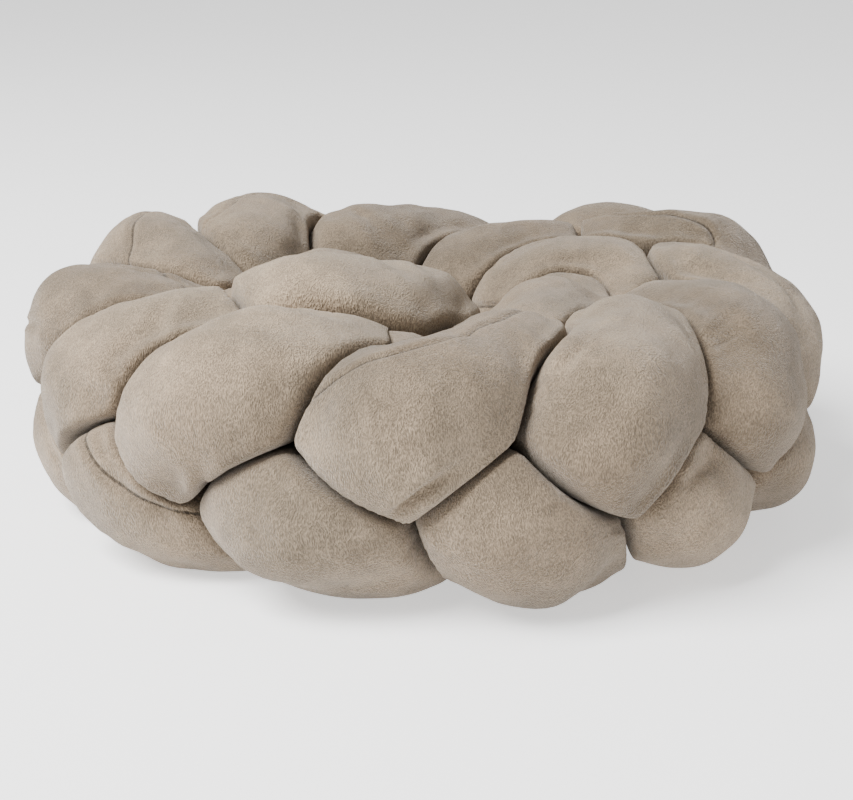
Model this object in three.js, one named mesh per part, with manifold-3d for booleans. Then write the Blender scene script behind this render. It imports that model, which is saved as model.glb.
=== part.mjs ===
// A stuffed bumper for the inside of a crib: three plush tubes plaited
// together, stood on edge and coiled around an open middle.
// Units are millimetres, +Z is up, and it rests on z = 0.
import * as THREE from 'three';
import Module from 'manifold-3d';

// Plait: how far each tube swings up and down, and in and out.
const SWING_UP = 35;
const SWING_OUT = 24;
const PLAIT_HEIGHT = 76;
const LOBE_DEGREES = 120;
const FIRST_LOBE_DEGREES = 45;
const TUBES = 3;

// Coil: a little wider from side to side than from front to back.
const COIL_SQUASH = 0.95;
const END_MARGIN = 0.2;

// Mesh of one tube.
const RINGS = 132;
const SIDES = 16;
const RING_TURN = 0.5;

// Ends: the tubes draw together, and each one is rounded and closed.
const END_ROUND = 0.55;
const END_RADIUS = 7;
const END_GATHER = 0.8;
const END_SWING = 0.55;

// Contact: tubes that press on each other share the room between them.
const PRESS_SHARPNESS = 10;
const PRESS_REACH = 120;
const NEIGHBOUR_STEP = 0.03;
const SAME_TUBE_LOBES = 2.2;
const HALF_GAP = 1.3;
const HALF_GAP_SAME_TUBE = 2;
const SKIN_GAP = 0.7;

// Fabric colour.
const FABRIC_COLOUR = 0xb3a595;
const FABRIC_ROUGHNESS = 0.95;

// One row for each lobe along the top of the plait, from the inner end of the
// coil to the outer end. turn: degrees around the coil. reach: distance from
// the middle. lift: how much higher the upper lobe rides. rise: the same for
// the lower lobe. foot: how much further out the lower lobe stands. top,
// bottom: tube radius in the upper lobe and in the lower lobe.
const LOBES = [
  { turn: -205, reach: 88, lift: 0, rise: 0, foot: 0, top: 36, bottom: 38 },
  { turn: -168, reach: 94, lift: -17, rise: 0, foot: 0, top: 40, bottom: 44 },
  { turn: -129, reach: 96, lift: 14, rise: 0, foot: 0, top: 51, bottom: 47 },
  { turn: -75, reach: 96, lift: -18, rise: 0, foot: 0, top: 47, bottom: 46 },
  { turn: 5, reach: 117, lift: -4, rise: 0, foot: 0, top: 43, bottom: 46 },
  { turn: 43, reach: 118, lift: -10, rise: 0, foot: 0, top: 48, bottom: 46 },
  { turn: 80, reach: 136, lift: -12, rise: 0, foot: 0, top: 48, bottom: 46 },
  { turn: 124, reach: 156, lift: 6, rise: 0, foot: 0, top: 48, bottom: 46 },
  { turn: 158, reach: 172, lift: 11, rise: 0, foot: 0, top: 42, bottom: 46 },
  { turn: 182, reach: 184, lift: -7, rise: 0, foot: -12, top: 47, bottom: 46 },
  { turn: 206, reach: 181, lift: -16, rise: 0, foot: 0, top: 46, bottom: 46 },
  { turn: 236, reach: 182, lift: -1, rise: -3, foot: -6, top: 48, bottom: 46 },
  { turn: 268, reach: 184, lift: -7, rise: 12, foot: -3, top: 46, bottom: 50 },
  { turn: 297.2, reach: 184, lift: -4, rise: -1, foot: 2, top: 46, bottom: 48 },
  { turn: 324.6, reach: 184, lift: -8, rise: 0, foot: -4, top: 47, bottom: 44 },
  { turn: 353.2, reach: 181, lift: -12, rise: 0, foot: 0, top: 47, bottom: 45 },
  { turn: 380, reach: 185, lift: -4, rise: 0, foot: 0, top: 48, bottom: 46 },
  { turn: 405, reach: 192, lift: 1, rise: 0, foot: 0, top: 46, bottom: 46 },
  { turn: 430, reach: 194, lift: -14, rise: 0, foot: 0, top: 38, bottom: 42 },
];
const FIRST = END_MARGIN;
const LAST = LOBES.length - 1 - END_MARGIN;

// Places where one tube sits a little off the even plait. place, width: along
// the tube, in lobes. out, up: how far its middle line moves. radius: how much
// thicker it is there.
const NUDGES = [
  { tube: 2, place: 11.68, width: 0.2, out: -3, up: -9, radius: 0 },
  { tube: 0, place: 11.95, width: 0.25, out: 1, up: 5, radius: 0 },
  { tube: 0, place: 12.38, width: 0.16, out: -2, up: 0, radius: -2 },
  { tube: 1, place: 12.72, width: 0.16, out: 3, up: 0, radius: 3 },
  { tube: 1, place: 13.15, width: 0.25, out: -2, up: 1, radius: -2.5 },
  { tube: 2, place: 12.72, width: 0.15, out: -2, up: 1, radius: -2 },
];

const radians = (degrees) => (degrees * Math.PI) / 180;

// Smooth value of one column of the table at a place between its rows.
function column(name, place) {
  const last = LOBES.length - 1;
  const row = Math.min(Math.max(Math.floor(place), 0), last - 1);
  const f = place - row;
  const at = (i) => LOBES[Math.min(Math.max(i, 0), last)][name];
  const [a, b, c, d] = [at(row - 1), at(row), at(row + 1), at(row + 2)];
  const linear = (c - a) * f;
  const square = (2 * a - 5 * b + 4 * c - d) * f * f;
  const cube = (3 * b - a - 3 * c + d) * f * f * f;
  return 0.5 * (2 * b + linear + square + cube);
}

// Middle line of the coil, and the way out from it.
function coil(place) {
  const turn = radians(column('turn', place));
  const reach = column('reach', place);
  return new THREE.Vector3(
    reach * Math.cos(turn),
    reach * Math.sin(turn) * COIL_SQUASH,
    PLAIT_HEIGHT,
  );
}

function outward(place) {
  const step = 0.001;
  const along = coil(place + step).sub(coil(place - step)).normalize();
  return new THREE.Vector3(along.y, -along.x, 0);
}

// How far the nudges of one tube move it at a place, in one column.
function nudge(tube, place, name) {
  let total = 0;
  for (const row of NUDGES) {
    if (row.tube === tube) {
      total += row[name] * Math.exp(-(((place - row.place) / row.width) ** 2));
    }
  }
  return total;
}

// Share of the full swing at a place: less at the two ends.
function swingShare(place) {
  const toEnd = Math.min(place - FIRST, LAST - place) / END_GATHER;
  const f = Math.min(Math.max(toEnd, 0), 1);
  return END_SWING + (1 - END_SWING) * f * f * (3 - 2 * f);
}

// Middle line of one tube. share below 1 gives a flatter line, used to turn
// the rings gently.
function tubeLine(tube, place, share = 1) {
  const phase = radians(FIRST_LOBE_DEGREES + LOBE_DEGREES * (place - tube));
  const raised = (Math.sin(phase) + 1) / 2;
  const swing = swingShare(place) * share;
  const stand = column('foot', place) * (1 - raised) * share;
  const ride = column('lift', place) * raised + column('rise', place) * (1 - raised);
  const out = SWING_OUT * Math.sin(2 * phase) * swing + stand + nudge(tube, place, 'out');
  const point = coil(place);
  point.addScaledVector(outward(place), out);
  point.z += SWING_UP * Math.sin(phase) * swing + ride * share + nudge(tube, place, 'up');
  return point;
}

function direction(tube, place, share) {
  const step = 0.002;
  const ahead = tubeLine(tube, place + step, share);
  return ahead.sub(tubeLine(tube, place - step, share)).normalize();
}

// Radius of the stuffed tube before anything presses on it. The ends are
// drawn in and rounded.
function fullRadius(tube, place) {
  const phase = radians(FIRST_LOBE_DEGREES + LOBE_DEGREES * (place - tube));
  const raised = (Math.sin(phase) + 1) / 2;
  const even = column('top', place) * raised + column('bottom', place) * (1 - raised);
  const radius = even + nudge(tube, place, 'radius');
  const toEnd = Math.min(place - FIRST, LAST - place) / END_ROUND;
  if (toEnd >= 1) {
    return radius;
  }
  const inset = 1 - Math.max(toEnd, 0);
  const rounded = Math.sqrt(1 - inset * inset);
  return END_RADIUS + (radius - END_RADIUS) * rounded;
}

function neighbourPoints() {
  const points = [];
  for (let tube = 0; tube < TUBES; tube += 1) {
    for (let place = FIRST; place <= LAST; place += NEIGHBOUR_STEP) {
      const centre = tubeLine(tube, place);
      points.push({ tube, place, centre, radius: fullRadius(tube, place) });
    }
  }
  return points;
}

// Distance from a tube's middle line to its skin in one direction: the full
// radius, pressed in by the neighbours and by the floor.
function pressedRadius(centre, along, way, radius, near) {
  const slant = way.dot(along);
  const free = radius / Math.sqrt(1 - slant * slant);
  let room = Infinity;
  for (const other of near) {
    const facing = other.offset.dot(way);
    if (facing > 0.001) {
      const share = other.distance2 + radius * radius - other.radius * other.radius;
      room = Math.min(room, Math.max(share, 1) / (2 * facing) - other.halfGap);
    }
  }
  room = Math.max(room, 1);
  const blend = free ** -PRESS_SHARPNESS + room ** -PRESS_SHARPNESS;
  const soft = blend ** (-1 / PRESS_SHARPNESS);
  return way.z < -0.001 ? Math.min(soft, centre.z / -way.z) : soft;
}

function tubeRing(tube, place, points, grow) {
  const centre = tubeLine(tube, place);
  const along = direction(tube, place, 1);
  const facing = direction(tube, place, RING_TURN);
  const side = facing.clone().cross(new THREE.Vector3(0, 0, 1)).normalize();
  const top = side.clone().cross(facing);
  const radius = fullRadius(tube, place);
  const near = [];
  for (const point of points) {
    const same = point.tube === tube;
    if (same && Math.abs(point.place - place) < SAME_TUBE_LOBES) {
      continue;
    }
    const offset = point.centre.clone().sub(centre);
    const distance2 = offset.lengthSq();
    if (distance2 < PRESS_REACH * PRESS_REACH) {
      const halfGap = same ? HALF_GAP_SAME_TUBE : HALF_GAP;
      near.push({ offset, distance2, radius: point.radius, halfGap });
    }
  }
  const ring = [];
  for (let i = 0; i < SIDES; i += 1) {
    const angle = (2 * Math.PI * i) / SIDES;
    const way = side.clone().multiplyScalar(Math.cos(angle));
    way.addScaledVector(top, Math.sin(angle));
    const length = pressedRadius(centre, along, way, radius, near) + grow;
    const point = centre.clone().addScaledVector(way, length);
    point.z = Math.abs(point.z) < 0.001 ? 0 : point.z;
    ring.push(point);
  }
  return { centre, ring };
}

// Two triangles for a four-cornered patch, split along its shorter diagonal.
function splitPatch(corners, a, b, c, d) {
  const first = corners[a].distanceToSquared(corners[c]);
  const second = corners[b].distanceToSquared(corners[d]);
  return first < second ? [[a, b, c], [a, c, d]] : [[a, b, d], [b, c, d]];
}

// Closed skin of one tube as corner points and triangles.
function tubeSkin(tube, points, grow) {
  const corners = [];
  const triangles = [];
  const rings = [];
  for (let i = 0; i < RINGS; i += 1) {
    const place = FIRST + ((LAST - FIRST) * i) / (RINGS - 1);
    rings.push(tubeRing(tube, place, points, grow));
    corners.push(...rings[i].ring);
  }
  const startCap = corners.push(rings[0].centre) - 1;
  const endCap = corners.push(rings[RINGS - 1].centre) - 1;
  const lastRing = (RINGS - 1) * SIDES;
  for (let j = 0; j < SIDES; j += 1) {
    const next = (j + 1) % SIDES;
    for (let i = 0; i < RINGS - 1; i += 1) {
      const low = i * SIDES;
      const high = low + SIDES;
      triangles.push(...splitPatch(corners, low + j, high + j, high + next, low + next));
    }
    triangles.push([startCap, j, next]);
    triangles.push([endCap, lastRing + next, lastRing + j]);
  }
  return { corners, triangles };
}

function toSolid(wasm, skin) {
  const vertProperties = new Float32Array(skin.corners.flatMap((p) => [p.x, p.y, p.z]));
  const triVerts = new Uint32Array(skin.triangles.flat());
  return new wasm.Manifold(new wasm.Mesh({ numProp: 3, vertProperties, triVerts }));
}

function toMesh(solid, name, material, shift) {
  const cut = solid.getMesh();
  const positions = new Float32Array(cut.numVert * 3);
  for (let i = 0; i < cut.numVert; i += 1) {
    positions[3 * i] = cut.vertProperties[i * cut.numProp] + shift.x;
    positions[3 * i + 1] = cut.vertProperties[i * cut.numProp + 1] + shift.y;
    positions[3 * i + 2] = cut.vertProperties[i * cut.numProp + 2];
  }
  const geometry = new THREE.BufferGeometry();
  geometry.setAttribute('position', new THREE.BufferAttribute(positions, 3));
  geometry.setIndex(Array.from(cut.triVerts));
  geometry.computeVertexNormals();
  const mesh = new THREE.Mesh(geometry, material);
  mesh.name = name;
  return mesh;
}

const wasm = await Module();
wasm.setup();

const points = neighbourPoints();
const names = ['strand_one', 'strand_two', 'strand_three'];
const solids = [];
const grown = [];
for (let tube = 0; tube < TUBES; tube += 1) {
  let solid = toSolid(wasm, tubeSkin(tube, points, 0));
  for (const other of grown) {
    solid = solid.subtract(other);
  }
  solids.push(solid);
  grown.push(toSolid(wasm, tubeSkin(tube, points, SKIN_GAP)));
}

// The origin is under the middle of the whole bumper.
const low = new THREE.Vector2(Infinity, Infinity);
const high = new THREE.Vector2(-Infinity, -Infinity);
for (const solid of solids) {
  const box = solid.boundingBox();
  low.min(new THREE.Vector2(box.min[0], box.min[1]));
  high.max(new THREE.Vector2(box.max[0], box.max[1]));
}
const shift = low.add(high).multiplyScalar(-0.5);

const fabric = new THREE.MeshStandardMaterial({
  color: FABRIC_COLOUR,
  roughness: FABRIC_ROUGHNESS,
  metalness: 0,
});
fabric.name = 'fabric';

const bumper = new THREE.Group();
bumper.name = 'braided_crib_bumper';
for (let tube = 0; tube < TUBES; tube += 1) {
  bumper.add(toMesh(solids[tube], names[tube], fabric, shift));
}

export default bumper;
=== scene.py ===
# %% [markdown]
# # A braided crib bumper, coiled up
#
# The real thing is three long tubes of short-pile plush, each sewn along its
# length, stuffed, and plaited together. The plait stands on edge and is wound
# into a spiral around an open middle.
#
# A plait could be drawn by hand, lobe by lobe, but then neighbouring lobes
# would never quite fit. Here the middle line of each tube is a formula, and the
# tubes then press on each other, so every crease falls where two tubes meet.

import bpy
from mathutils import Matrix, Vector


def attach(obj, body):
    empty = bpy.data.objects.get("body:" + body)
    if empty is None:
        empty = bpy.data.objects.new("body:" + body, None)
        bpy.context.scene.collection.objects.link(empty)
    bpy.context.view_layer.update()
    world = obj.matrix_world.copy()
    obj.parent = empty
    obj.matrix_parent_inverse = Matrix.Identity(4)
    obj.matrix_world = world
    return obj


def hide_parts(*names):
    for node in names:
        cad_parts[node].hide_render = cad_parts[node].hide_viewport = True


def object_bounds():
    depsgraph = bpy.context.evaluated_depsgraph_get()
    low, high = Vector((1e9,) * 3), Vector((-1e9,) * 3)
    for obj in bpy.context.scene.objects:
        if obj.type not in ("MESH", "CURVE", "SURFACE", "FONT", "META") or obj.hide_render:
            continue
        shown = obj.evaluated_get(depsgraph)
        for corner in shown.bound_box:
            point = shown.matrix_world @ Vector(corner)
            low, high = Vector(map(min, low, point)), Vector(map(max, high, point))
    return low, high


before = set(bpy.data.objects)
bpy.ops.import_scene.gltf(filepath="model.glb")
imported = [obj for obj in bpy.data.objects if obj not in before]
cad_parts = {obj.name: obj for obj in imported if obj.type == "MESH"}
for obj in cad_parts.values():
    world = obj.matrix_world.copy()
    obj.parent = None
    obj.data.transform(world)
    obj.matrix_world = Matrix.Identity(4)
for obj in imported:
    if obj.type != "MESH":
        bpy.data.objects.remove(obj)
cad_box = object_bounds()
print("box of the solids:", [list(corner) for corner in cad_box])

# %% [markdown]
# ## Camera
#
# The photograph looks slightly down on the bumper, straight from the front,
# with a long lens, so the far side is only a little smaller than the near side.
# A camera can be aimed with a constraint, but plain trigonometry keeps the
# numbers in sight: how steeply it looks down, how far away it is, and what it
# looks at. The helper comes first, and the camera itself is set up at the end,
# once the middle of the finished coil is known.

# %% Camera helper
import math
import bpy
from mathutils import Matrix, Vector

PHOTO_WIDTH = 853
PHOTO_HEIGHT = 800
SENSOR_WIDTH = 36.0


def add_camera(aim, look_down, distance, focal_pixels, aim_row):
    """A camera in front of the object that shows the aim point at one row of the picture."""
    data = bpy.data.cameras.new("camera")
    data.sensor_fit = "HORIZONTAL"
    data.sensor_width = SENSOR_WIDTH
    data.lens = focal_pixels / PHOTO_WIDTH * SENSOR_WIDTH
    data.shift_y = (aim_row - PHOTO_HEIGHT / 2) / PHOTO_WIDTH
    camera = bpy.data.objects.new("camera", data)
    back = Vector((0, -math.cos(look_down), math.sin(look_down)))
    turn = Matrix.Rotation(math.pi / 2 - look_down, 4, "X")
    camera.matrix_world = Matrix.Translation(aim + back * distance) @ turn
    bpy.context.scene.collection.objects.link(camera)
    return camera


# %% [markdown]
# ## The coil and its lobes
#
# Seen from above, the plait is a spiral. Seen from the side, its top edge is a
# row of rounded lobes, one for each time a tube comes up over the others. One
# table row describes one place of the plait:
#
# - turn and reach: how far around the coil it is, and how far from the middle
# - lift and rise: how much higher than in an even plait the upper tube and the
#   lower tube ride
# - foot: how much further out the lower tube stands
# - top and bottom: how thick the upper tube and the lower tube are
#
# One radius for the whole plait would be simpler, but it would look machine
# made. A smooth curve through each column gives every value between the rows,
# so the bumper is uneven in the same way as the real one. Places along the
# plait are counted in rows: place 3.5 is half way between row 3 and row 4.

# %% Table of lobes, from the inner end of the coil to the outer end
import numpy as np

LOBE_COLUMNS = ("turn", "reach", "lift", "rise", "foot", "top", "bottom")
LOBES = (
    # degrees, then mm
    (-205, 88, 0, 0, 0, 36, 38),
    (-168, 94, -17, 0, 0, 40, 44),
    (-129, 96, 14, 0, 0, 51, 47),
    (-75, 96, -18, 0, 0, 47, 46),
    (5, 117, -4, 0, 0, 43, 46),
    (43, 118, -10, 0, 0, 48, 46),
    (80, 136, -12, 0, 0, 48, 46),
    (124, 156, 6, 0, 0, 48, 46),
    (158, 172, 11, 0, 0, 42, 46),
    (182, 184, -7, 0, -12, 47, 46),
    (206, 181, -16, 0, 0, 46, 46),
    (236, 182, -1, -3, -6, 48, 46),
    (268, 184, -7, 12, -3, 46, 50),
    (297.2, 184, -4, -1, 2, 46, 48),
    (324.6, 184, -8, 0, -4, 47, 44),
    (353.2, 181, -12, 0, 0, 47, 45),
    (380, 185, -4, 0, 0, 48, 46),
    (405, 192, 1, 0, 0, 46, 46),
    (430, 194, -14, 0, 0, 38, 42),
)


def column(name, place):
    """Smooth value of one column of the table at places between its rows."""
    values = np.array([row[LOBE_COLUMNS.index(name)] for row in LOBES], float)
    last = len(values) - 1
    row = np.clip(np.floor(place).astype(int), 0, last - 1)
    f = place - row
    a, b, c, d = (values[np.clip(row + step, 0, last)] for step in (-1, 0, 1, 2))
    square = (2 * a - 5 * b + 4 * c - d) * f**2
    cube = (3 * b - a - 3 * c + d) * f**3
    return 0.5 * (2 * b + (c - a) * f + square + cube)


print("rows in the table of lobes:", len(LOBES))

# %% Middle line of the coil
MM = 0.001
COIL_SQUASH = 0.95  # depth of the coil as a share of its width
PLAIT_HEIGHT = 76 * MM
END_MARGIN = 0.2  # rows of the table left over at both ends
FIRST = END_MARGIN
LAST = len(LOBES) - 1 - END_MARGIN
PLACE_STEP = 0.02
EVERY_PLACE = np.arange(FIRST, LAST, PLACE_STEP)


def coil(place):
    """Points on the middle line of the whole plait."""
    turn = np.radians(column("turn", place))
    reach = column("reach", place) * MM
    x = reach * np.cos(turn)
    y = reach * np.sin(turn) * COIL_SQUASH
    return np.stack([x, y, np.full_like(x, PLAIT_HEIGHT)], axis=-1)


def unit(vectors):
    return vectors / np.linalg.norm(vectors, axis=-1, keepdims=True)


def outward(place, step=0.001):
    """The way out of the coil, level with the floor."""
    along = unit(coil(place + step) - coil(place - step))
    return np.stack([along[..., 1], -along[..., 0], np.zeros(len(along))], axis=-1)


def run_along(points):
    """How far along a line each of its points lies."""
    steps = np.linalg.norm(np.diff(points, axis=0), axis=1)
    return np.concatenate([[0], np.cumsum(steps)])


print("middle line of the plait:", run_along(coil(EVERY_PLACE))[-1].round(2), "m")

# %% [markdown]
# ## Places that sit off the even plait
#
# The real plait was made by hand, so here and there a tube lies a little off
# its even line. Each row of this table pushes one tube near one place, and the
# push fades to both sides over its width: out of the coil, up, or in its
# radius. The last column, fill, only makes the skin of the tube fuller: the
# face that it shares with its neighbour stays, so a crease closes and nothing
# else moves. More rows in the table of lobes could do the same, but each of
# those rows changes all three tubes.

# %% Nudges of single tubes
NUDGE_COLUMNS = ("tube", "place", "width", "out", "up", "radius", "fill")
NUDGES = (
    # place and width in rows of the table of lobes, then mm
    (2, 11.68, 0.20, -3, -9, 0, 0),
    (0, 11.95, 0.25, 1, 5, 0, 0),
    (0, 12.38, 0.16, -2, 0, -2, 0),
    (0, 12.55, 0.20, 0, 0, 0, 2),
    (1, 12.72, 0.16, 3, 0, 3, 0),
    (1, 13.00, 0.22, 0, 0, 0, 4.5),
    (1, 13.15, 0.25, -2, 1, -2.5, 0),
    (2, 12.72, 0.15, -2, 1, -2, 0),
)


def nudge(tube, place, name):
    """How far one column of the nudges moves a tube at some places, in metres."""
    total = np.zeros_like(place)
    for row in NUDGES:
        push = dict(zip(NUDGE_COLUMNS, row))
        if push["tube"] == tube:
            total += push[name] * MM * np.exp(-(((place - push["place"]) / push["width"]) ** 2))
    return total


print("places off the even plait:", len(NUDGES))

# %% [markdown]
# ## One tube of the plait
#
# In a plait of three, each tube swings from side to side once while it crosses
# over and under twice. So its middle line goes up and down as a sine, and in
# and out as a sine of twice the rate: a flat figure of eight. The three tubes
# follow the same line, each a third of a wave behind the one before. Three
# curves drawn by hand could show the same, but they would have to be drawn
# again after each change of the coil.

# %% Swing of one tube
SWING_UP = 35 * MM
SWING_OUT = 24 * MM
END_GATHER = 0.8  # how many rows it takes to reach the full swing
END_SWING = 0.55  # share of the full swing at the very end
TUBES = 3
FIRST_PHASE = 45
PHASE_PER_PLACE = 120


def phase(tube, place):
    """Where a tube is in its swing: 90 degrees on top, 270 degrees at the bottom."""
    return np.radians(FIRST_PHASE + PHASE_PER_PLACE * (place - tube))


def raised_share(tube, place):
    """1 where a tube is on top of the plait, 0 where it is at the bottom."""
    return (np.sin(phase(tube, place)) + 1) / 2


def swing_share(place):
    """Less than the full swing near the two ends, where the tubes draw together."""
    f = np.clip(np.minimum(place - FIRST, LAST - place) / END_GATHER, 0, 1)
    return END_SWING + (1 - END_SWING) * f * f * (3 - 2 * f)


# %% Middle line of one tube
def tube_line(tube, place, share=1.0):
    """Middle line of one tube. A share below 1 gives a flatter line."""
    angle = phase(tube, place)
    swing = swing_share(place) * share
    raised = raised_share(tube, place)
    stand = column("foot", place) * MM * (1 - raised) * share
    ride = (column("lift", place) * raised + column("rise", place) * (1 - raised)) * MM
    out = SWING_OUT * np.sin(2 * angle) * swing + stand + nudge(tube, place, "out")
    points = coil(place) + outward(place) * out[:, None]
    points[:, 2] += SWING_UP * np.sin(angle) * swing + ride * share + nudge(tube, place, "up")
    return points


def tube_way(tube, place, share=1.0, step=0.002):
    """The way along one tube, from a point just behind to a point just ahead."""
    ahead = tube_line(tube, place + step, share)
    return unit(ahead - tube_line(tube, place - step, share))


tube_lines = [tube_line(tube, EVERY_PLACE) for tube in range(TUBES)]
print("lengths of the tubes:", [float(run_along(line)[-1].round(2)) for line in tube_lines], "m")

# %% Thickness of one tube before anything presses on it
END_ROUND = 0.55  # length of the rounded end, in rows
END_RADIUS = 7 * MM


def full_radius(tube, place):
    """Radius of a tube, rounded off to a small gathered end at both ends."""
    raised = raised_share(tube, place)
    radius = (column("top", place) * raised + column("bottom", place) * (1 - raised)) * MM
    radius = radius + nudge(tube, place, "radius")
    inset = 1 - np.clip(np.minimum(place - FIRST, LAST - place) / END_ROUND, 0, 1)
    return END_RADIUS + (radius - END_RADIUS) * np.sqrt(1 - inset * inset)


tube_radii = [full_radius(tube, EVERY_PLACE) for tube in range(TUBES)]
print("thickest radius of each tube:", [float(radii.max().round(3)) for radii in tube_radii], "m")

# %% [markdown]
# ## Tubes that press on each other
#
# Where two stuffed tubes touch, neither keeps its round section: both flatten
# against a shared face. A physics run could find that face, but three long
# tubes that rub on each other all the way would take minutes. The face between
# two round things lies where both are equally far away, so it can be worked out
# at once: from a point on a tube's middle line, look in one direction, and stop
# half way to every neighbour. A smooth minimum rounds the edge of the pressed
# patch, as stuffing does.

# %% Neighbours of each tube
SAME_TUBE_PLACES = 2.2  # a tube presses on itself only one turn of the coil further on
PRESS_REACH = 120 * MM
SKIN_GAP = 0.15 * MM
SAME_TUBE_GAP = 0.3 * MM


def neighbours_of(tube, place, centre, radius):
    """Ways to nearby points on the tubes, the room to each, and the gap to keep."""
    ways, rooms, gaps = [], [], []
    for other in range(TUBES):
        way = tube_lines[other] - centre
        near = (way**2).sum(1) < PRESS_REACH**2
        if other == tube:
            near &= np.abs(EVERY_PLACE - place) > SAME_TUBE_PLACES
        room = (way**2).sum(1) + radius**2 - tube_radii[other] ** 2
        ways.append(way[near])
        rooms.append(room[near])
        gaps.append(np.full(near.sum(), SAME_TUBE_GAP if other == tube else SKIN_GAP))
    return np.concatenate(ways), np.concatenate(rooms), np.concatenate(gaps)


# %% Room up to the neighbours and down to the floor
FAR = 1.0  # more room than any tube needs
LEAST = 1e-6  # keeps a division from running into zero
LEAST_DOWN = 1e-3


def room_around(ways, neighbours):
    """How far each way leads from the middle line to the face shared with a neighbour."""
    offsets, rooms, gaps = neighbours
    room = np.full(len(ways), FAR)
    if len(offsets):
        facing = ways @ offsets.T
        limit = np.maximum(rooms, LEAST) / (2 * np.maximum(facing, LEAST)) - gaps
        room = np.where(facing > LEAST, limit, FAR).min(axis=1)
    return np.clip(room, MM, FAR)


def room_below(height, ways):
    """How far each way leads from the middle line to the floor."""
    down = -ways[:, 2]
    return np.where(down > LEAST_DOWN, height / np.maximum(down, LEAST_DOWN), FAR)


# %% Rounded pressing
PRESS_SHARPNESS = 28  # the higher it is, the sharper the edge of a pressed patch


def pressed_radius(free, room):
    """The free radius, rounded off where a neighbour presses."""
    return (free**-PRESS_SHARPNESS + room**-PRESS_SHARPNESS) ** (-1 / PRESS_SHARPNESS)


def ease(value, low, high):
    """Rises smoothly from 0 at low to 1 at high."""
    share = np.clip((value - low) / (high - low), 0, 1)
    return share * share * (3 - 2 * share)


def fade(value, low, high):
    """Falls smoothly from 1 at low to 0 at high."""
    return ease(-value, -high, -low)


for room in (60.0, 48.0, 40.0):
    pressed = round(pressed_radius(45.0, room), 1)
    print("a radius of 45 mm with", room, "mm of room becomes", pressed, "mm")

# %% [markdown]
# ## From a strip of plush to a stuffed tube
#
# The maker cuts a long strip, rolls it and sews the two long edges together.
# The mesh is made in the same way: a flat grid from `create_grid` is the strip,
# its points are moved to the skin of the tube, and its long edges are welded
# with `remove_doubles`, which gives the long seam a real place on the tube. A
# curve with a round bevel would be quicker, but it has no seam, and each ring
# would keep the same round section. The columns of the grid will lie closer
# together beside the seam, because the finest shape is there.

# %% Cut a flat strip
import bmesh


def cut_strip(name, rings, sides):
    """A flat strip, one unit long and one unit wide, with a UV map."""
    strip = bmesh.new()
    strip.loops.layers.uv.new("plush")
    bmesh.ops.create_grid(strip, x_segments=rings, y_segments=sides, size=0.5, calc_uvs=True)
    mesh = bpy.data.meshes.new(name)
    strip.to_mesh(mesh)
    strip.free()
    return mesh


def read_points(mesh):
    """The places of a mesh's points, one row each."""
    flat = np.empty(len(mesh.vertices) * 3)
    mesh.vertices.foreach_get("co", flat)
    return flat.reshape(-1, 3)


def strip_cells(mesh, rings, sides):
    """For each point of the flat strip: the ring and the column that it will lie in."""
    shares = read_points(mesh)[:, :2] + 0.5
    return np.rint(shares * [rings, sides]).astype(int)


# %% Roll it up and weld the long edges
WELD_DISTANCE = 0.01 * MM


def roll_up(mesh, skin, cells):
    """Move each point of the strip to its place on the skin of a tube."""
    points = skin[cells[:, 0], cells[:, 1]]
    mesh.vertices.foreach_set("co", points.ravel())


def weld(mesh):
    """Join the two long edges, and turn all faces outward."""
    rolled = bmesh.new()
    rolled.from_mesh(mesh)
    bmesh.ops.remove_doubles(rolled, verts=rolled.verts, dist=WELD_DISTANCE)
    bmesh.ops.recalc_face_normals(rolled, faces=rolled.faces)
    for face in rolled.faces:
        face.smooth = True
    rolled.to_mesh(mesh)
    rolled.free()


# %% [markdown]
# ## Where the long seam runs
#
# The seam shows on some lobes of the real bumper and is hidden on others,
# because each tube turns a little as it is plaited. A straight seam would be
# simpler, but it would show in the wrong places. So each tube has a short table
# of how far around it the seam lies: 0 is level and outward, 90 is straight up.

# %% Angle of the long seam
SEAMS = (
    # for each tube: place, then degrees
    (
        (0, 170), (8.4, 170), (9.1, 138), (9.8, 80), (10.41, 30), (10.59, 16), (10.8, 8),
        (11.2, 8), (11.6, 20), (11.8, 42), (11.9, 66), (12.05, 81), (12.3, 88), (12.5, 82),
        (12.9, 110), (14, 165), (18, 175),
    ),
    (
        (0, 170), (6.4, 160), (6.9, 120), (7.31, 80), (7.69, 70), (8.3, 15), (9, -45),
        (10, -95), (14.4, -100), (15, -160), (15.6, -235), (16.02, -262), (16.23, -256),
        (16.68, -266), (18, -275),
    ),
    (
        (0, 170), (6.8, 168), (7.4, 140), (7.9, 104), (8.32, 71), (8.53, 49), (9, 10),
        (9.5, -35), (10, -70), (11, -100), (18, -110),
    ),
)
SEAM_SMOOTHING = 0.14
SEAM_SAMPLES = 21


def seam_angle(tube, place):
    """Angle of the long seam around the tube, smoothed between the rows."""
    rows = np.array(SEAMS[tube], float)
    nearby = np.linspace(-SEAM_SMOOTHING, SEAM_SMOOTHING, SEAM_SAMPLES)
    spread = np.interp(np.add.outer(place, nearby), rows[:, 0], rows[:, 1])
    weight = np.cos(nearby / SEAM_SMOOTHING * np.pi / 2) ** 2
    return np.radians(spread @ weight / weight.sum())


for tube in range(TUBES):
    seam_turn = np.degrees(np.ptp(seam_angle(tube, EVERY_PLACE)))
    print("the seam of tube", tube, "turns by", round(float(seam_turn)), "degrees in all")

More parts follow.
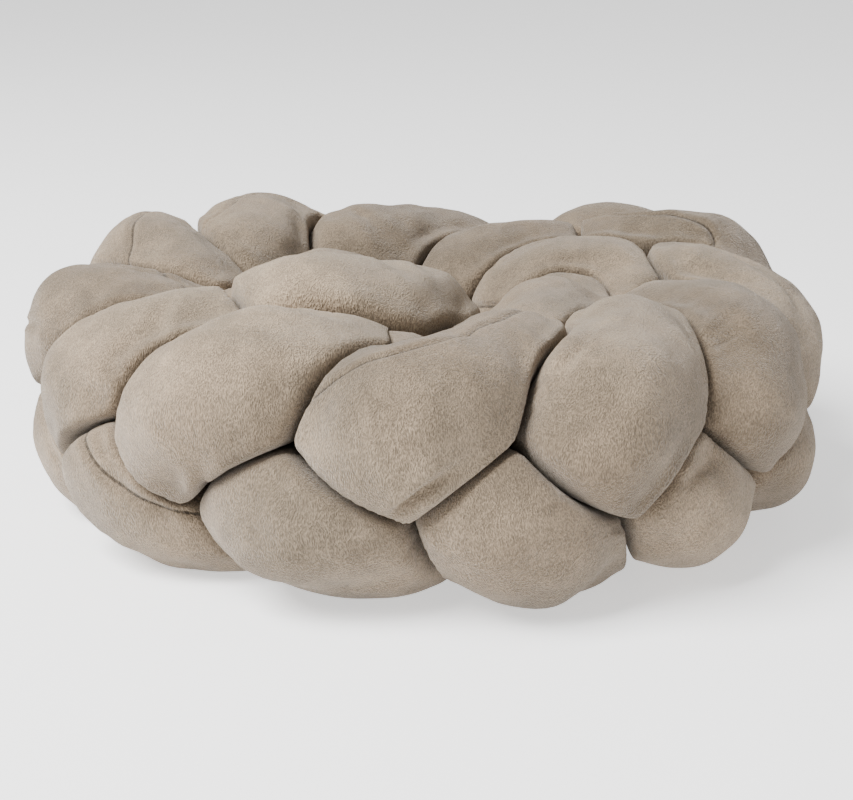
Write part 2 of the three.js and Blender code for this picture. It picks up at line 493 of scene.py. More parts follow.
# %% [markdown]
# ## Skin that swells into the creases
#
# Filling that is pushed aside by a neighbour goes where there is room, so the
# skin beside a pressed patch bulges, and the crease between two tubes is a
# narrow line and not an open wedge. Where a tube hangs over another one it also
# sags a little into the gap below. A physics run would show both, but it is
# slow and hard to steer. Here each ring of skin starts a little thin, and is
# made fuller by how hard it is squeezed: squeeze is the free radius divided by
# the room in that direction, so it is 1 where the tubes begin to touch.

# %% How much fuller the skin is in the creases
CROWDING = 0.32
CROWDED_SQUEEZE = (0.76, 0.98)
CROWDED_HEIGHT = (-20 * MM, 45 * MM)
SAGGING = 0.18
SAGGED_SQUEEZE = (0.6, 0.85)
SAG_DOWN = (-0.3, 0.5)
SAG_FLOOR = 70 * MM
SAG_FADE = 30 * MM


def swelling(centre, ways, free, squeeze):
    """Share by which the free radius grows beside a pressed patch, for one ring."""
    height = centre[2] + ways[:, 2] * free
    crowded = CROWDING * ease(squeeze, *CROWDED_SQUEEZE) * ease(height, *CROWDED_HEIGHT)
    sagging = SAGGING * ease(-ways[:, 2], *SAG_DOWN) * ease(squeeze, *SAGGED_SQUEEZE)
    sagging *= ease(centre[2], SAG_FLOOR, SAG_FLOOR + SAG_FADE)
    return np.maximum(crowded, sagging)


# %% One ring of skin
START_SHARE = 0.96  # a little thin, because the cloth run fills it


def press_ring(centre, along, ways, fuller, neighbours):
    """One ring: its skin, how hard each point is squeezed, and the room left outside it."""
    free = fuller / np.sqrt(1 - (ways @ along) ** 2)
    room = room_around(ways, neighbours)
    squeeze = free / room
    thin = free * (START_SHARE + swelling(centre, ways, free, squeeze))
    floor_room = room_below(centre[2], ways)
    length = np.minimum(pressed_radius(thin, room), floor_room)
    return centre + ways * length[:, None], squeeze, np.minimum(room, floor_room) - length


# %% Directions of each ring, and smoothing between the rings
RING_TURN = 0.5  # rings turn with half of the swing, so that they don't cross
RELAX_SHARE = 0.5


def ring_frame(tube, place):
    """Three directions at each ring: along the tube, out to the side, and up."""
    facing = tube_way(tube, place, RING_TURN)
    side = unit(np.cross(facing, [0.0, 0.0, 1.0]))
    return tube_way(tube, place), side, np.cross(side, facing)


def relax(skin, rounds):
    """Draw each point towards the middle of its four neighbours, in place."""
    for _ in range(rounds):
        closed = np.concatenate([skin[:, -2:-1], skin, skin[:, 1:2]], axis=1)
        middle = (closed[1:-1, :-2] + closed[1:-1, 2:] + skin[:-2] + skin[2:]) / 4
        skin[1:-1] += RELAX_SHARE * (middle - skin[1:-1])
    return skin


# %% Roll one strip into a tube
SEAM_CROWDING = 0.3  # 0 spreads the columns evenly
RELAX_ROUNDS = 5


def spread_around(sides):
    """Places of the columns around a tube from 0 to 1, closer together beside the seam."""
    around = np.linspace(0, 1, sides + 1)
    return around - SEAM_CROWDING * np.sin(2 * np.pi * around) / (2 * np.pi)


def roll_tube(tube, rings, sides):
    """The pressed skin of one tube, and all that the next steps need to know about it."""
    place = FIRST + (LAST - FIRST) * np.linspace(0, 1, rings + 1)
    centre = tube_line(tube, place)
    radius = full_radius(tube, place)
    fuller = radius + nudge(tube, place, "fill")
    along, side, top = ring_frame(tube, place)
    around = spread_around(sides)
    angle = seam_angle(tube, place)[:, None] + 2 * np.pi * around
    skin = np.empty((rings + 1, sides + 1, 3))
    ways = np.empty_like(skin)
    squeeze = np.empty((rings + 1, sides + 1))
    spare = np.empty_like(squeeze)
    for i in range(rings + 1):
        ways[i] = np.outer(np.cos(angle[i]), side[i]) + np.outer(np.sin(angle[i]), top[i])
        neighbours = neighbours_of(tube, place[i], centre[i], radius[i])
        ring = press_ring(centre[i], along[i], ways[i], fuller[i], neighbours)
        skin[i], squeeze[i], spare[i] = ring
    return {
        "place": place, "angle": angle, "ways": ways, "skin": relax(skin, RELAX_ROUNDS),
        "squeeze": squeeze, "spare": spare, "run": run_along(centre), "around": around,
        "girth": 2 * np.pi * radius[:, None],
    }


def close_ends(skin):
    """Bring the last column onto the first, and each end ring to one point."""
    skin[:, -1] = skin[:, 0]
    skin[0] = skin[0].mean(axis=0)
    skin[-1] = skin[-1].mean(axis=0)


# %% [markdown]
# ## Filling the tubes: a cloth run
#
# So far each tube is as smooth as a balloon. Real plush hardly stretches, so
# where a tube is bent and caught, its skin puckers. That is what the Cloth
# modifier is good at. The skin starts a little too slack and too thin, pressure
# from inside fills it, and everything that is pressed by a neighbour or by the
# floor is held. Ten frames are enough. Only the growth outward or inward is
# kept, and it stops where the neighbour begins. The run is done on a coarse
# grid, and its growth is then laid on the fine one, which is quicker than a run
# on the fine grid and just as soft.

# %% Cloth mesh of one tube
CLOTH_RINGS = 400
CLOTH_SIDES = 60


def cloth_mesh(skin):
    """A coarse tube of cloth, with the ring and the column of each of its points."""
    mesh = cut_strip("cloth", CLOTH_RINGS, CLOTH_SIDES)
    cells = strip_cells(mesh, CLOTH_RINGS, CLOTH_SIDES)
    close_ends(skin)
    roll_up(mesh, skin, cells)
    number = mesh.attributes.new("number", "INT", "POINT")
    number.data.foreach_set("value", np.arange(len(cells)))
    weld(mesh)
    kept = np.empty(len(mesh.vertices), int)
    mesh.attributes["number"].data.foreach_get("value", kept)
    ring, side = cells[kept].T
    return mesh, ring, side


# %% What the neighbours, the floor and the ends hold still
HELD_SQUEEZE = (0.96, 1.04)
HELD_HEIGHT = (1 * MM, 5 * MM)
HELD_RINGS = 2
HOLD_STEPS = 10


def held_share(squeeze, ring, height):
    """How firmly each point of the cloth is held, from 0 to 1."""
    at_end = np.where((ring < HELD_RINGS) | (ring > CLOTH_RINGS - HELD_RINGS), 1.0, 0.0)
    pressed = np.maximum(ease(squeeze, *HELD_SQUEEZE), at_end)
    return np.maximum(pressed, fade(height, *HELD_HEIGHT))


def hold(mesh, held):
    """The cloth as an object, with what is held as a vertex group in steps of weight."""
    cloth = bpy.data.objects.new("cloth", mesh)
    bpy.context.scene.collection.objects.link(cloth)
    group = cloth.vertex_groups.new(name="held")
    steps = np.rint(np.clip(held, 0, 1) * HOLD_STEPS)
    for step in range(1, HOLD_STEPS + 1):
        group.add(np.flatnonzero(steps == step).tolist(), step / HOLD_STEPS, "REPLACE")
    return cloth


# %% Fill one tube
CLOTH_FRAMES = 10
CLOTH_MASS = 0.0005
CLOTH_BENDING = 0.05
SLACK = 0.05
FILL_PRESSURE = 200


def fill(cloth):
    """Run the Cloth modifier and give back where the points end."""
    modifier = cloth.modifiers.new("filling", "CLOTH")
    settings = modifier.settings
    settings.vertex_group_mass = "held"
    settings.mass = CLOTH_MASS
    settings.bending_stiffness = CLOTH_BENDING
    settings.use_pressure = True
    settings.uniform_pressure_force = FILL_PRESSURE
    settings.shrink_min = settings.shrink_max = -SLACK
    settings.effector_weights.gravity = 0
    modifier.collision_settings.use_collision = False
    modifier.point_cache.frame_end = CLOTH_FRAMES
    for frame_number in range(1, CLOTH_FRAMES + 1):
        bpy.context.scene.frame_set(frame_number)
    filled = cloth.evaluated_get(bpy.context.evaluated_depsgraph_get())
    return read_points(filled.data)


# %% Growth of one tube
MOST_GROWTH = 6 * MM
GROWTH_RELAX_ROUNDS = 2


def double(grid):
    """A grid with a new row between every two, on a smooth curve through four."""
    padded = np.concatenate([grid[:1], grid, grid[-1:]])
    between = (9 * (padded[1:-2] + padded[2:-1]) - padded[:-3] - padded[3:]) / 16
    finer = np.empty((2 * len(grid) - 1,) + grid.shape[1:])
    finer[0::2], finer[1::2] = grid, between
    return finer


def cloth_growth(tube):
    """How far the cloth run moves each point of a tube outward, on the fine grid."""
    rolled = roll_tube(tube, CLOTH_RINGS, CLOTH_SIDES)
    mesh, ring, side = cloth_mesh(rolled["skin"])
    before = read_points(mesh)
    held = held_share(rolled["squeeze"][ring, side], ring, before[:, 2])
    cloth = hold(mesh, held)
    moved = fill(cloth) - before
    bpy.data.objects.remove(cloth)
    growth = np.zeros(rolled["squeeze"].shape)
    growth[ring, side] = (moved * rolled["ways"][ring, side]).sum(axis=1)
    # a welded point is in the first column or in the last one, so both get its growth
    growth[:, 0] += growth[:, -1]
    growth[:, -1] = growth[:, 0]
    relax(growth[..., None], GROWTH_RELAX_ROUNDS)
    print("tube", tube, "moves by", (np.abs(moved).max() / MM).round(1), "mm at most")
    return MOST_GROWTH * np.tanh(double(double(growth).T).T / MOST_GROWTH)


# %% [markdown]
# ## Lumps and pinches
#
# Loose filling never lies quite evenly, so the real tubes have soft, slow lumps.
# Where a tube is caught between two others, its skin gathers into short folds
# that start deep in the crease and fade out on the lobe. A Displace modifier
# with a texture could make the lumps, but not folds at chosen places, so both
# are worked out here for each point: the lumps as a seeded sum of slow waves,
# and each fold from one row of a table that says where it starts and ends.

# %% Slow lumps
LUMP_SEED = 11
LUMPS = (
    # wave length and mean height in mm, number of waves
    (95, 1.5, 14),
    (42, 0.7, 22),
    (20, 0.22, 26),
)
LUMP_STRETCH = (0.7, 1.4)


def lump_height(points):
    """Height of the lumps at some points, in metres."""
    chance = np.random.default_rng(LUMP_SEED)
    height = np.zeros(points.shape[:-1])
    for length, tall, count in LUMPS:
        for _ in range(count):
            way = unit(chance.normal(size=3))
            start, stretch = chance.uniform(0, 2 * np.pi), chance.uniform(*LUMP_STRETCH)
            wave = points @ way * 2 * np.pi / (length * MM * stretch) + start
            height += np.sin(wave) * tall * MM * math.sqrt(2 / count)
    return height


lumps = lump_height(tube_lines[0])
print("lumps from", (lumps.min() / MM).round(1), "to", (lumps.max() / MM).round(1), "mm")

# %% Table of pinched folds
PINCH_COLUMNS = ("tube", "place", "angle", "end_place", "end_angle", "width", "depth")
PINCHES = (
    # angles in degrees, width and depth in mm
    (2, 11.42, 14, 11.35, 34, 3.4, 3.4),
    (2, 11.40, 7, 11.31, 23, 3.0, 2.6),
    (2, 11.06, 318, 11.13, 347, 3.6, 4.2),
    (2, 11.12, 314, 11.19, 341, 2.8, 2.4),
    (2, 13.96, 81, 14.13, 84, 3.6, 3.2),
    (2, 13.90, 71, 14.04, 73, 3.2, 2.4),
    (1, 6.84, 86, 6.98, 100, 3.0, 3.0),
    (1, 6.96, 122, 7.12, 132, 3.0, 3.0),
    (1, 7.04, 142, 7.18, 138, 2.8, 2.2),
    (1, 12.96, 82, 13.36, 123, 3.0, 2.6),
    (1, 12.88, 70, 13.22, 126, 2.8, 2.0),
    (0, 12.02, 335, 12.15, 355, 3.4, 3.2),
    (0, 11.99, 331, 12.10, 353, 3.0, 2.2),
    (2, 12.80, 20, 12.67, 30, 3.2, 2.8),
    (2, 12.78, 6, 12.64, 8, 2.8, 2.2),
    (1, 1.06, 52, 1.22, 76, 3.8, 3.8),
    (1, 11.86, 1, 11.76, 358, 3.0, 2.2),
    (1, 11.87, 353, 11.77, 348, 3.0, 2.2),
    (1, 10.36, 16, 10.23, 31, 3.4, 2.8),
    (1, 10.42, 62, 10.43, 33, 6.0, 2.2),
    (0, 9.14, 17, 9.25, 22, 3.2, 2.2),
    (0, 6.63, 110, 6.56, 146, 5.0, 2.4),
    (0, 15.28, 76, 15.06, 71, 6.0, 2.0),
    (0, 15.03, 58, 14.83, 30, 6.0, 1.6),
    (0, 10.80, 5, 10.87, 343, 3.4, 2.2),
    (2, 12.26, 335, 12.33, 321, 3.2, 2.2),
    (0, 13.38, 25, 13.47, 43, 4.0, 2.0),
    (0, 13.25, 348, 13.36, 323, 4.0, 1.8),
    (2, 12.45, 58, 12.54, 45, 4.0, 2.0),
    (2, 2.41, 82, 2.50, 42, 6.0, 2.0),
)
print("pinched folds:", len(PINCHES))

# %% Shape of one fold
FOLD_END = 1.15
FOLD_END_POWER = 1.5
FOLD_START = 1.6
FOLD_START_RISE = 2
FOLD_NARROWEST = 0.6
FOLD_WIDENING = 0.6
SHOULDER = 0.45
SHOULDER_PLACE = 2


def fold_shape(ahead, aside):
    """A groove with low shoulders: ahead is 0 at its start and 1 at its end, aside in widths."""
    fading = np.clip(FOLD_END - ahead, 0, 1) ** FOLD_END_POWER
    fading = fading * np.clip(FOLD_START + FOLD_START_RISE * ahead, 0, 1)
    spread = aside / (FOLD_NARROWEST + FOLD_WIDENING * np.clip(ahead, 0, 1))
    shoulders = SHOULDER * np.exp(-((np.abs(spread) - SHOULDER_PLACE) ** 2))
    return (shoulders - np.exp(-(spread**2))) * fading


# %% Height of all folds of one tube
PLACE_LENGTH = 121 * MM
AROUND_LENGTH = 46 * MM


def short_turn(angle):
    """The same angle, from half a turn back to half a turn ahead."""
    return (angle + np.pi) % (2 * np.pi) - np.pi


def pinch_height(tube, place, angle):
    """Height of the folds of one tube, in metres: negative in the folds."""
    height = np.zeros(np.broadcast(place, angle).shape)
    for row in PINCHES:
        pinch = dict(zip(PINCH_COLUMNS, row))
        if pinch["tube"] != tube:
            continue
        start = np.radians(pinch["angle"])
        turn = short_turn(np.radians(pinch["end_angle"]) - start)
        run = np.array([(pinch["end_place"] - pinch["place"]) * PLACE_LENGTH, turn * AROUND_LENGTH])
        length = np.linalg.norm(run)
        x = (place - pinch["place"]) * PLACE_LENGTH
        y = short_turn(angle - start) * AROUND_LENGTH
        ahead = (x * run[0] + y * run[1]) / length**2
        aside = (y * run[0] - x * run[1]) / length / (pinch["width"] * MM)
        height += fold_shape(ahead, aside) * pinch["depth"] * MM
    return height


# %% Groove of the long seam
SEAM_DEPTH = 2.0 * MM
SEAM_WIDTH = 1.6 * MM
SEAM_PUFF = 0.7 * MM
PUFF_PLACE = 3


def seam_height(aside):
    """The seam pulls the skin in, and the plush puffs up a little beside it."""
    groove = -SEAM_DEPTH * np.exp(-((aside / SEAM_WIDTH) ** 2))
    puffed = (np.abs(aside) - PUFF_PLACE * SEAM_WIDTH) / SEAM_WIDTH
    return groove + SEAM_PUFF * np.exp(-(puffed**2) / 2)


# %% [markdown]
# ## Which way the pile lies, and painted light on the lobes
#
# Plush looks lighter or darker by the way its pile was last brushed. On the real
# bumper nearly every lobe differs a little from the next, partly for that reason
# and partly by how the lamp falls on it. One noise over the whole bumper could do
# it, but it wouldn't keep to the lobes. The shade is kept as one number per point,
# from a short table along each tube: one shade for its top and one for its front.
# These shades are partly the tone of the pile and partly painted light, such as a
# painted highlight on some tops, and the undersides get painted shade.

# %% Shade of the pile along each tube, with painted light
NAP_TABLE_WITH_PAINTED_LIGHT = (
    # for each tube: place, shade on top, shade in front, each the pile's tone with painted light
    (
        (0, 1, 1), (3.4, 0.92, 0.92), (6.4, 0.76, 0.76), (9.2, 0.74, 0.76), (10.6, 0.96, 0.96),
        (12, 0.76, 1.1), (13.4, 1.1, 1.26), (14.8, 1.1, 1.2), (16, 1, 1), (18, 1, 1),
    ),
    (
        (0, 1, 1), (4.4, 1, 1), (7.5, 0.96, 0.96), (10.25, 1.36, 0.88), (11.6, 0.95, 0.95),
        (13, 1.14, 0.8), (14.5, 1, 1), (16.3, 0.74, 0.74), (18, 1, 1),
    ),
    (
        (0, 1, 1), (2.4, 1.36, 1.36), (5.4, 0.7, 0.7), (8.5, 1, 1), (11.2, 1.42, 0.93),
        (12.5, 0.93, 0.93), (13.9, 0.64, 0.88), (15, 0.95, 0.95), (18, 0.95, 0.95),
    ),
)
# painted shade on the undersides of the tubes
PAINTED_SHADE_UNDER = 0.8
PAINTED_SHADE_UNDER_RANGE = (0, 0.8)


def pile_shade_with_painted_light(tube, place, angle):
    """Shade of the pile with painted light: top and front from the table, and painted shade
    underneath.
    """
    rows = np.array(NAP_TABLE_WITH_PAINTED_LIGHT[tube], float)
    top = np.interp(place, rows[:, 0], rows[:, 1])[:, None]
    front = np.interp(place, rows[:, 0], rows[:, 2])[:, None]
    facing_up = np.sin(angle)
    painted_underside = 1 - (1 - PAINTED_SHADE_UNDER) * ease(-facing_up, *PAINTED_SHADE_UNDER_RANGE)
    return (front + (top - front) * np.clip(facing_up, 0, 1)) * painted_underside


# %% [markdown]
# ## Putting each tube together
#
# On the real bumper the lumps are pressed flat where tubes meet, while the
# folds run on into the crease, because the crease is what makes them. So each
# kind of relief fades out at its own squeeze. The cloth's growth is calmed
# beside a contact for the same reason. Sculpting would reach the same shape,
# but it couldn't be made again after a change of the coil.

# %% Where relief fades out
FREE_SQUEEZE = (0.72, 0.98)
FOLD_SQUEEZE = (1.0, 1.3)
FLOOR_CLEARANCE = 12 * MM


def soften(lumps, folds, squeeze, skin, share):
    """Relief that fades where a tube is pressed, near the floor and at the ends."""
    free = fade(squeeze, *FREE_SQUEEZE)
    sunk = np.clip(folds, None, 0) * fade(squeeze, *FOLD_SQUEEZE)
    raised = np.clip(folds, 0, None) * free
    above = ease(skin[..., 2], 0, FLOOR_CLEARANCE)
    return (lumps * free + sunk + raised) * above * share


def inset_share(place):
    """0 at both ends of a tube, and 1 from half way along the rounded end."""
    return np.clip(np.minimum(place - FIRST, LAST - place) / (END_ROUND / 2), 0, 1)


# %% Finish the skin of one tube
RINGS = 800
SIDES = 120
CALMED = 0.3
CALMED_SQUEEZE = (0.75, 0.98)
LAST_RELAX_ROUNDS = 2


def finish_tube(tube):
    """One tube with its cloth growth, its lumps, its folds and the groove of its seam."""
    rolled = roll_tube(tube, RINGS, SIDES)
    place, ways, skin = rolled["place"], rolled["ways"], rolled["skin"]
    growth = cloth_growth(tube)
    calm = 1 - CALMED * ease(rolled["squeeze"], *CALMED_SQUEEZE)
    skin += ways * np.minimum(growth * calm, rolled["spare"])[..., None]
    relax(skin, LAST_RELAX_ROUNDS)
    aside = rolled["girth"] * np.minimum(rolled["around"], 1 - rolled["around"])
    folds = pinch_height(tube, place[:, None], rolled["angle"]) + seam_height(aside)
    share = inset_share(place)[:, None]
    relief = soften(lump_height(skin), folds, rolled["squeeze"], skin, share)
    skin += ways * relief[..., None]
    close_ends(skin)
    # the shade of the pile, with painted highlight and painted shade
    rolled["nap_with_painted_light"] = pile_shade_with_painted_light(tube, place, rolled["angle"])
    return rolled


tubes = [finish_tube(tube) for tube in range(TUBES)]

# %% Move the coil to the middle of the solids
low = np.min([tube["skin"].min(axis=(0, 1)) for tube in tubes], axis=0)
high = np.max([tube["skin"].max(axis=(0, 1)) for tube in tubes], axis=0)
cad_middle = (np.array(cad_box[0]) + np.array(cad_box[1])) / 2
shift = cad_middle - (low + high) / 2
shift[2] = 0
print("coil moved to the middle of the solids by", shift.round(5))
print("size of the coil:", (high - low).round(4))

# %% [markdown]
# ## From skins to objects
#
# Each tube is one piece of plush with one seam, so it becomes one object: a flat
# strip gets its UV map while its place on the strip is still known, then it is
# rolled up and welded. Unwrapping the finished tube would be the usual way, but
# it would have to find the seam again. The squeeze and the shade of the pile,
# with its painted light, go along as attributes, for the material.

# %% UV map of one strip
def lay_uv(mesh, cells, tube):
    """UV map in metres: along the tube, and across from the seam to either side."""
    corners = np.empty(len(mesh.loops), int)
    mesh.loops.foreach_get("vertex_index", corners)
    ring, column = cells[corners, 0], cells[corners, 1]
    middle = column.reshape(-1, 4).mean(axis=1).repeat(4)
    across = tube["around"][column] - (middle > SIDES / 2)
    flat = np.stack([tube["run"][ring], across * tube["girth"][ring, 0]], axis=-1)
    mesh.uv_layers["plush"].data.foreach_set("uv", flat.ravel())


# %% Make and link the three strands
STRAND_NAMES = ("strand_one", "strand_two", "strand_three")


def make_strand(number):
    """One finished tube as an object that stands for its solid."""
    name = STRAND_NAMES[number] + "_plush"
    tube = tubes[number]
    mesh = cut_strip(name, RINGS, SIDES)
    cells = strip_cells(mesh, RINGS, SIDES)
    lay_uv(mesh, cells, tube)
    # the shade of the pile goes along with its painted light
    for word, values in (("press", tube["squeeze"]), ("nap_with_painted_light", tube["nap_with_painted_light"])):
        kept = mesh.attributes.new(word, "FLOAT", "POINT")
        kept.data.foreach_set("value", values[cells[:, 0], cells[:, 1]])
    roll_up(mesh, tube["skin"] + shift, cells)
    weld(mesh)
    strand = bpy.data.objects.new(name, mesh)
    bpy.context.scene.collection.objects.link(strand)
    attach(strand, "root")
    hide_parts(STRAND_NAMES[number])
    print(name, "has", len(mesh.polygons), "faces")
    return strand


strands = [make_strand(number) for number in range(TUBES)]

# %% [markdown]
# ## Short-pile plush
#
# The fabric is a beige plush with a pile of two to three millimetres. Close up
# it shows short strokes, light on the tips and dark between them. From further
# away it shows soft patches, where a hand has brushed the pile another way.
# Real fibres could be grown as hair, but the object has over a square metre of
# plush, so noise makes the strokes here: stretched along the way the pile lies,
# bent by a slower noise, and used both for colour and for bump.

# %% Helpers for shader nodes
def add_node(tree, kind, settings=None, **inputs):
    """A node with its settings and its inputs, given as values or as sockets."""
    node = tree.nodes.new(kind)
    for name, value in (settings or {}).items():
        setattr(node, name, value)
    for name, value in inputs.items():
        socket = node.inputs[int(name[1:]) if name[0] == "_" else name.replace("_", " ")]
        if isinstance(value, bpy.types.NodeSocket):
            tree.links.new(value, socket)
        else:
            socket.default_value = value
    return node


def calculate(tree, operation, *values):
    """A Math node on some values or sockets."""
    inputs = {"_%d" % i: value for i, value in enumerate(values)}
    return add_node(tree, "ShaderNodeMath", {"operation": operation}, **inputs).outputs[0]


def add_noise(tree, vector, scale, detail, roughness=0.5):
    """A noise whose scale counts cells in a metre."""
    return add_node(
        tree, "ShaderNodeTexNoise", Vector=vector, Scale=scale, Detail=detail, Roughness=roughness
    )


def fit_range(tree, value, before, after, kind="SMOOTHSTEP"):
    """Carry a value from one range over to another, both given as low and high."""
    node = add_node(
        tree, "ShaderNodeMapRange", {"interpolation_type": kind}, Value=value,
        From_Min=before[0], From_Max=before[1], To_Min=after[0], To_Max=after[1],
    )
    return node.outputs["Result"]


# %% Plush: the two ways the pile is brushed
SWIRL_SCALE = 30
SWIRL_REACH = 12 * MM
COMBED_TURN = (0, 0.5, 0)
CROSSED_TURN = (0, -0.9, 0.6)
STROKE_STRETCH = (1, 1, 0.4)

plush = bpy.data.materials.new("plush")
plush.use_nodes = True
tree = plush.node_tree
position = add_node(tree, "ShaderNodeTexCoord").outputs["Object"]
swirl = add_noise(tree, position, SWIRL_SCALE, 2).outputs["Color"]
centred = add_node(
    tree, "ShaderNodeVectorMath", {"operation": "SUBTRACT"}, _0=swirl, _1=(0.5, 0.5, 0.5)
)
bent = add_node(
    tree, "ShaderNodeVectorMath", {"operation": "MULTIPLY_ADD"},
    _0=centred.outputs[0], _1=(SWIRL_REACH, SWIRL_REACH, SWIRL_REACH), _2=position,
).outputs[0]
combed, crossed = (
    add_node(tree, "ShaderNodeMapping", Vector=bent, Rotation=turn, Scale=STROKE_STRETCH)
    for turn in (COMBED_TURN, CROSSED_TURN)
)

# %% Plush: strokes, tufts and brushed patches
STROKE_SCALE = 1400
BRUSHED_SCALE = 32
BRUSHED_RANGE = (0.44, 0.56)
TUFT_SCALE = 430
PATCH_SCALE = 17
CLOUD_SCALE = 60

combed_strokes = add_noise(tree, combed.outputs[0], STROKE_SCALE, 1, 0.6).outputs[0]
crossed_strokes = add_noise(tree, crossed.outputs[0], STROKE_SCALE, 1, 0.6).outputs[0]
brushed_noise = add_noise(tree, position, BRUSHED_SCALE, 2).outputs[0]
brushed = fit_range(tree, brushed_noise, BRUSHED_RANGE, (0, 1))
strokes = add_node(
    tree, "ShaderNodeMix", Factor=brushed, A=combed_strokes, B=crossed_strokes
).outputs[0]
tufts = add_noise(tree, bent, TUFT_SCALE, 2, 0.55).outputs[0]
patches = add_noise(tree, position, PATCH_SCALE, 3, 0.55).outputs[0]
clouds = add_noise(tree, position, CLOUD_SCALE, 3, 0.6).outputs[0]

# %% Plush: lightness of the pile, how it was brushed, and its painted light
shades = [
    # a noise, the middle of its range, and the lightness at both ends
    fit_range(tree, strokes, (0.36, 0.64), (0.73, 1.23)),
    fit_range(tree, tufts, (0.35, 0.65), (0.95, 1.05)),
    fit_range(tree, patches, (0.42, 0.58), (0.86, 1.08)),
    fit_range(tree, clouds, (0.38, 0.62), (0.93, 1.06)),
]
# the shade of each lobe: the pile's tone with painted highlight and painted shade
shades.append(add_node(tree, "ShaderNodeAttribute", {"attribute_name": "nap_with_painted_light"}).outputs["Fac"])

# %% [markdown]
# ## Painted shade in the creases, and the seam
#
# Deep in a crease the pile is pressed together and little light gets in. Cycles
# darkens it by itself, and the squeeze attribute paints a little more shade into
# the colour, with an edge made ragged by the tufts. The long seam shows as a dark
# line with a dash for each stitch. The groove is already in the mesh, so here the
# UV map only gives its colour. A stitch modelled from thread would be hidden by
# the pile.

# %% Plush: painted shade in the creases where tubes meet
CREASE_RAGGED = 0.12
CREASE_SQUEEZE = (0.98, 1.16)
PAINTED_CREASE_SHADE = (1.0, 0.75)

press = add_node(tree, "ShaderNodeAttribute", {"attribute_name": "press"}).outputs["Fac"]
ragged = calculate(tree, "MULTIPLY_ADD", tufts, CREASE_RAGGED, press)
# painted shade, darker where the squeeze is high
shades.append(fit_range(tree, ragged, CREASE_SQUEEZE, PAINTED_CREASE_SHADE))

# %% Plush: the stitched line of the long seam
STITCH_LENGTH = 3.4 * MM
STITCH_END = (0.55, 0.75)
STITCH_DARK = (1.0, 0.75)
SEAM_WANDER = 0.9 * MM
SEAM_LINE = (0.4 * MM, 1.3 * MM)
SEAM_LIGHT = (1.0, 0.28)

seam_uv = add_node(tree, "ShaderNodeUVMap", {"uv_map": "plush"}).outputs[0]
split = add_node(tree, "ShaderNodeSeparateXYZ", Vector=seam_uv)
wander = calculate(tree, "MULTIPLY_ADD", tufts, SEAM_WANDER, split.outputs["Y"])
aside = calculate(tree, "ABSOLUTE", calculate(tree, "SUBTRACT", wander, SEAM_WANDER / 2))
line = fit_range(tree, aside, SEAM_LINE, (1, 0))
stitch = calculate(tree, "FRACT", calculate(tree, "DIVIDE", split.outputs["X"], STITCH_LENGTH))
dash = fit_range(tree, stitch, STITCH_END, STITCH_DARK)
seam_dark = calculate(tree, "MULTIPLY", line, dash)
shades.append(fit_range(tree, seam_dark, (0, 1), SEAM_LIGHT, kind="LINEAR"))

# %% Plush: colour
WARMTH_SCALE = 9
WARMTH_RANGE = (0.3, 0.7)
COOLER_BEIGE = (0.222, 0.173, 0.121, 1)
WARMER_BEIGE = (0.230, 0.173, 0.118, 1)

light = shades[0]
for shade in shades[1:]:
    light = calculate(tree, "MULTIPLY", light, shade)
warmth = add_noise(tree, position, WARMTH_SCALE, 2).outputs[0]
warmer = fit_range(tree, warmth, WARMTH_RANGE, (0, 1))
tone = add_node(
    tree, "ShaderNodeMix", {"data_type": "RGBA"}, Factor=warmer, _6=COOLER_BEIGE, _7=WARMER_BEIGE
)
colour = add_node(
    tree, "ShaderNodeVectorMath", {"operation": "SCALE"}, _0=tone.outputs[2], Scale=light
)

# %% Plush: bump and sheen
TUFT_SHARE = 0.4
BUMP_STRENGTH = 0.9
BUMP_DEPTH = 1.6 * MM
PLUSH_FINISH = {
    "Roughness": 0.92,
    "Specular IOR Level": 0.12,
    "Sheen Weight": 0.35,
    "Sheen Roughness": 0.45,
    "Sheen Tint": (0.95, 0.88, 0.80, 1),
}

shader = tree.nodes["Principled BSDF"]
tree.links.new(colour.outputs[0], shader.inputs["Base Color"])
pile = calculate(tree, "MULTIPLY_ADD", tufts, TUFT_SHARE, strokes)
bump = add_node(tree, "ShaderNodeBump", Height=pile, Strength=BUMP_STRENGTH, Distance=BUMP_DEPTH)
tree.links.new(bump.outputs[0], shader.inputs["Normal"])
for socket, value in PLUSH_FINISH.items():
    shader.inputs[socket].default_value = value
for strand in strands:
    strand.data.materials.clear()
    strand.data.materials.append(plush)
print("plush has", len(tree.nodes), "nodes")

# %% [markdown]
# ## Floor and light
#
# The photograph was taken on a plain white ground that melts into its backdrop.
# A curved studio backdrop could be modelled, but a very wide floor that glows a
# little gives the same pale ground, and it still takes the soft shadow. One
# large lamp from the front left gives the lobes their round shading, and a dim
# white world lightens the shadows.

# %% Floor
FLOOR_REACH = 12.0
FLOOR_DROP = 0.3 * MM
FLOOR_COLOUR = (0.9, 0.9, 0.9, 1)
FLOOR_GLOW = 0.9

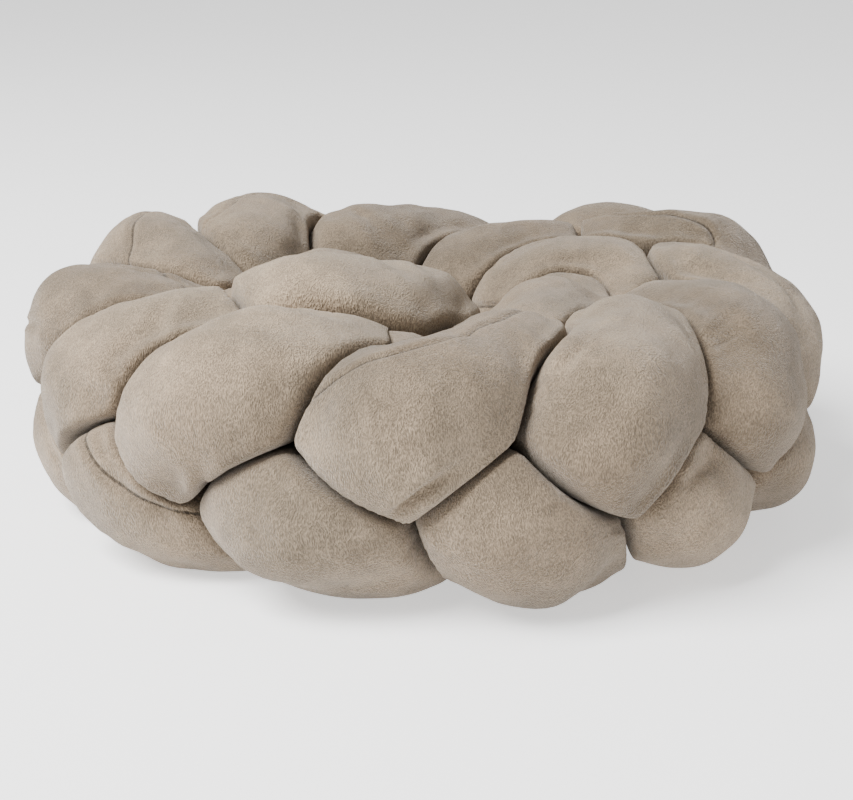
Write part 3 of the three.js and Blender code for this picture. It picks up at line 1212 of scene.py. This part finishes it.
floor_sheet = bmesh.new()
bmesh.ops.create_grid(floor_sheet, x_segments=1, y_segments=1, size=FLOOR_REACH)
bmesh.ops.translate(floor_sheet, verts=floor_sheet.verts, vec=(0, 0, -FLOOR_DROP))
floor_mesh = bpy.data.meshes.new("floor")
floor_sheet.to_mesh(floor_mesh)
floor_sheet.free()
floor = bpy.data.objects.new("floor", floor_mesh)
bpy.context.scene.collection.objects.link(floor)
pale = bpy.data.materials.new("pale_floor")
pale.use_nodes = True
pale_shader = pale.node_tree.nodes["Principled BSDF"]
pale_shader.inputs["Base Color"].default_value = FLOOR_COLOUR
pale_shader.inputs["Emission Color"].default_value = (1, 1, 1, 1)
pale_shader.inputs["Emission Strength"].default_value = FLOOR_GLOW
floor_mesh.materials.append(pale)
print("floor reaches", FLOOR_REACH, "m to each side")

# %% Lights
KEY_PLACE = (-1.5, -0.9, 2.2)
KEY_AIM = (0, 0, 0.05)
KEY_SIZE = 1.5
KEY_WATTS = 225
WORLD_STRENGTH = 0.45


def add_area_light(name, place, aim, size, watts):
    """A square lamp that faces its aim."""
    data = bpy.data.lights.new(name, "AREA")
    data.size = size
    data.energy = watts
    lamp = bpy.data.objects.new(name, data)
    way = Vector(aim) - Vector(place)
    turn = way.to_track_quat("-Z", "Y").to_matrix().to_4x4()
    lamp.matrix_world = Matrix.Translation(place) @ turn
    bpy.context.scene.collection.objects.link(lamp)
    print("lamp", name, "shines from", round(way.length, 2), "m away")


add_area_light("key", KEY_PLACE, KEY_AIM, KEY_SIZE, KEY_WATTS)
world = bpy.data.worlds.new("studio")
world.use_nodes = True
sky = world.node_tree.nodes["Background"]
sky.inputs["Color"].default_value = (1, 1, 1, 1)
sky.inputs["Strength"].default_value = WORLD_STRENGTH
bpy.context.scene.world = world

# %% [markdown]
# ## Aiming the camera
#
# The five values were found by comparing the outline of the bumper and its
# creases with the photograph. They could be tried by eye in the viewport, but
# written down they give the same picture each time.

# %% Aim the camera
LOOK_DOWN = 17.5
CAMERA_DISTANCE = 1.0
FOCAL_PIXELS = 1535
AIM_HEIGHT = 70 * MM
AIM_ROW = 372

aim = Vector(shift) + Vector((0, 0, AIM_HEIGHT))
camera = add_camera(aim, math.radians(LOOK_DOWN), CAMERA_DISTANCE, FOCAL_PIXELS, AIM_ROW)
bpy.context.scene.camera = camera
print("camera lens:", round(camera.data.lens, 1), "mm")
